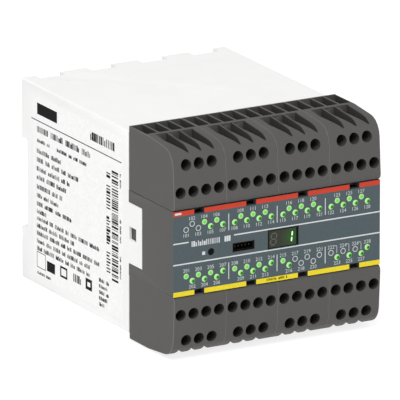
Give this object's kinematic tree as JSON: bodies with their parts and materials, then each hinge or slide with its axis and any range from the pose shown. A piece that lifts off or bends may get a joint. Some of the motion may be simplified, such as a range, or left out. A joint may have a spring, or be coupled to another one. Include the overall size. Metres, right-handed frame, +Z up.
{
  "type": "programmable safety controller",
  "caption": "Boxy rail-mounted safety controller with pull-off screw terminal plugs above and below a flat indicator panel with a display, a port and a set button.",
  "frame": {"origin": "centre of the 35 mm mounting rail, on the plane where the rail seats against the case's back", "axes": "+X to the right seen from the front, +Y to the wall, +Z up; the panel faces -Y"},
  "size_m": [0.09, 0.1199, 0.084],
  "materials": {
    "white_plastic": "fine matt moulding",
    "label_film": "satin printed film",
    "dark_plastic": "fine matt moulding",
    "panel_film": "satin printed film",
    "light_guide": "clear moulding",
    "display_glass": "smoked window",
    "black_component": "satin moulding",
    "circuit_board": "solder mask",
    "pin_metal": "tin plated",
    "spring_steel": "bright strip"
  },
  "bodies": {
    "case": {"housing": "white_plastic", "side_label": "label_film", "front_cover": "dark_plastic", "face_overlay": "panel_film", "light_guides": "light_guide", "display_window": "display_glass", "display_module": "black_component", "program_port": "black_component", "port_pins": "pin_metal", "button_switch": "black_component", "front_board": "circuit_board", "link_connector": "black_component", "processor_board": "circuit_board", "processors": "black_component", "upper_board": "circuit_board", "lower_board": "circuit_board", "upper_header": "black_component", "lower_header": "black_component", "upper_header_pins": "pin_metal", "lower_header_pins": "pin_metal", "relays": "black_component", "supply_transformer": "black_component", "supply_capacitors": "black_component", "latch_spring_left": "spring_steel", "latch_spring_right": "spring_steel"},
    "upper_plug_1": {"upper_plug_1": "dark_plastic", "upper_clamps_1": "pin_metal"},
    "upper_plug_2": {"upper_plug_2": "dark_plastic", "upper_clamps_2": "pin_metal"},
    "upper_plug_3": {"upper_plug_3": "dark_plastic", "upper_clamps_3": "pin_metal"},
    "upper_plug_4": {"upper_plug_4": "dark_plastic", "upper_clamps_4": "pin_metal"},
    "lower_plug_1": {"lower_plug_1": "dark_plastic", "lower_clamps_1": "pin_metal"},
    "lower_plug_2": {"lower_plug_2": "dark_plastic", "lower_clamps_2": "pin_metal"},
    "lower_plug_3": {"lower_plug_3": "dark_plastic", "lower_clamps_3": "pin_metal"},
    "lower_plug_4": {"lower_plug_4": "dark_plastic", "lower_clamps_4": "pin_metal"},
    "foot_latch_left": {"foot_latch_left": "white_plastic"},
    "foot_latch_right": {"foot_latch_right": "white_plastic"},
    "set_button": {"set_button": "black_component"}
  },
  "joints": [
    {"name": "upper_plug_1_pull", "type": "slide", "parent": "case", "child": "upper_plug_1", "axis": [0, -1, 0], "range_m": [0, 0.045]},
    {"name": "upper_plug_2_pull", "type": "slide", "parent": "case", "child": "upper_plug_2", "axis": [0, -1, 0], "range_m": [0, 0.045]},
    {"name": "upper_plug_3_pull", "type": "slide", "parent": "case", "child": "upper_plug_3", "axis": [0, -1, 0], "range_m": [0, 0.045]},
    {"name": "upper_plug_4_pull", "type": "slide", "parent": "case", "child": "upper_plug_4", "axis": [0, -1, 0], "range_m": [0, 0.045]},
    {"name": "lower_plug_1_pull", "type": "slide", "parent": "case", "child": "lower_plug_1", "axis": [0, -1, 0], "range_m": [0, 0.045]},
    {"name": "lower_plug_2_pull", "type": "slide", "parent": "case", "child": "lower_plug_2", "axis": [0, -1, 0], "range_m": [0, 0.045]},
    {"name": "lower_plug_3_pull", "type": "slide", "parent": "case", "child": "lower_plug_3", "axis": [0, -1, 0], "range_m": [0, 0.045]},
    {"name": "lower_plug_4_pull", "type": "slide", "parent": "case", "child": "lower_plug_4", "axis": [0, -1, 0], "range_m": [0, 0.045]},
    {"name": "foot_latch_left_slide", "type": "slide", "parent": "case", "child": "foot_latch_left", "axis": [0, 0, -1], "range_m": [0, 0.004], "stiffness_N_per_m": 800, "springref_m": -0.004, "deforming": ["latch_spring_left"]},
    {"name": "foot_latch_right_slide", "type": "slide", "parent": "case", "child": "foot_latch_right", "axis": [0, 0, -1], "range_m": [0, 0.004], "stiffness_N_per_m": 800, "springref_m": -0.004, "deforming": ["latch_spring_right"]},
    {"name": "set_button_press", "type": "slide", "parent": "case", "child": "set_button", "axis": [0, 1, 0], "range_m": [0, 0.0008], "stiffness_N_per_m": 500, "springref_m": -0.0008}
  ]
}
